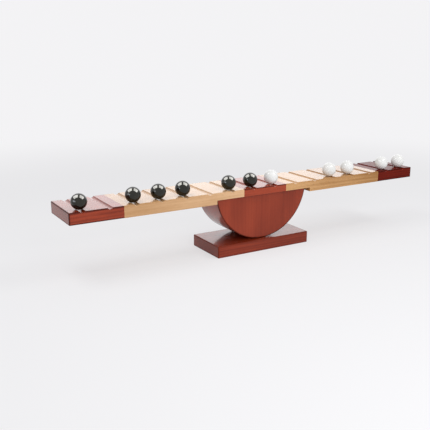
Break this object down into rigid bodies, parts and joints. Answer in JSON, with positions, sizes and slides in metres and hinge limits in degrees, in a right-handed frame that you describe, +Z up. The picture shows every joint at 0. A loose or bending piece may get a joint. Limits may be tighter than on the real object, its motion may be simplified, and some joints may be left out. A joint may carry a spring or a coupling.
{
  "type": "balance game",
  "caption": "Wooden balance game: a grooved beam on a half-round rocker that rocks on a flat base, with black and white glass marbles lying in the grooves.",
  "frame": {"origin": "centre of the base's underside", "axes": "+Z up, +X along the beam towards the white marbles' end, -Y towards the front of the picture"},
  "size_m": [0.6096, 0.076, 0.121],
  "materials": {
    "red_stain": "satin red-brown stain, lacquered",
    "dark_stain": "satin dark red stain, lacquered",
    "pale_wood": "clear satin lacquer",
    "dowel_wood": "bare",
    "black_glass": "polished, opaque",
    "white_glass": "polished, opaque"
  },
  "bodies": {
    "base": {"base_block": "red_stain"},
    "rocker": {"rocker_front_board": "red_stain", "rocker_middle_board": "red_stain", "rocker_back_board": "red_stain"},
    "beam": {"beam_left_end": "red_stain", "beam_left_plank": "pale_wood", "beam_centre_block": "red_stain", "beam_right_plank": "pale_wood", "beam_right_end": "dark_stain", "left_end_dowels": "dowel_wood", "left_centre_dowels": "dowel_wood", "right_centre_dowels": "dowel_wood", "right_end_dowels": "dowel_wood"},
    "black_marble_1": {"black_marble_1": "black_glass"},
    "black_marble_2": {"black_marble_2": "black_glass"},
    "black_marble_3": {"black_marble_3": "black_glass"},
    "black_marble_4": {"black_marble_4": "black_glass"},
    "black_marble_5": {"black_marble_5": "black_glass"},
    "black_marble_6": {"black_marble_6": "black_glass"},
    "white_marble_1": {"white_marble_1": "white_glass"},
    "white_marble_2": {"white_marble_2": "white_glass"},
    "white_marble_3": {"white_marble_3": "white_glass"},
    "white_marble_4": {"white_marble_4": "white_glass"},
    "white_marble_5": {"white_marble_5": "white_glass"}
  },
  "joints": [
    {"name": "rock", "type": "hinge", "parent": "base", "child": "rocker", "pos_m": [0, 0, 0.0997], "axis": [0, 1, 0], "range_deg": [-15.8, 15.8]},
    {"name": "beam_lift", "type": "slide", "parent": "rocker", "child": "beam", "axis": [0, 0, 1], "range_m": [0, 0.04]},
    {"name": "black_marble_1_lift", "type": "slide", "parent": "beam", "child": "black_marble_1", "axis": [0, 0, 1], "range_m": [0, 0.03]},
    {"name": "black_marble_2_lift", "type": "slide", "parent": "beam", "child": "black_marble_2", "axis": [0, 0, 1], "range_m": [0, 0.03]},
    {"name": "black_marble_3_lift", "type": "slide", "parent": "beam", "child": "black_marble_3", "axis": [0, 0, 1], "range_m": [0, 0.03]},
    {"name": "black_marble_4_lift", "type": "slide", "parent": "beam", "child": "black_marble_4", "axis": [0, 0, 1], "range_m": [0, 0.03]},
    {"name": "black_marble_5_lift", "type": "slide", "parent": "beam", "child": "black_marble_5", "axis": [0, 0, 1], "range_m": [0, 0.03]},
    {"name": "black_marble_6_lift", "type": "slide", "parent": "beam", "child": "black_marble_6", "axis": [0, 0, 1], "range_m": [0, 0.03]},
    {"name": "white_marble_1_lift", "type": "slide", "parent": "beam", "child": "white_marble_1", "axis": [0, 0, 1], "range_m": [0, 0.03]},
    {"name": "white_marble_2_lift", "type": "slide", "parent": "beam", "child": "white_marble_2", "axis": [0, 0, 1], "range_m": [0, 0.03]},
    {"name": "white_marble_3_lift", "type": "slide", "parent": "beam", "child": "white_marble_3", "axis": [0, 0, 1], "range_m": [0, 0.03]},
    {"name": "white_marble_4_lift", "type": "slide", "parent": "beam", "child": "white_marble_4", "axis": [0, 0, 1], "range_m": [0, 0.03]},
    {"name": "white_marble_5_lift", "type": "slide", "parent": "beam", "child": "white_marble_5", "axis": [0, 0, 1], "range_m": [0, 0.03]}
  ]
}
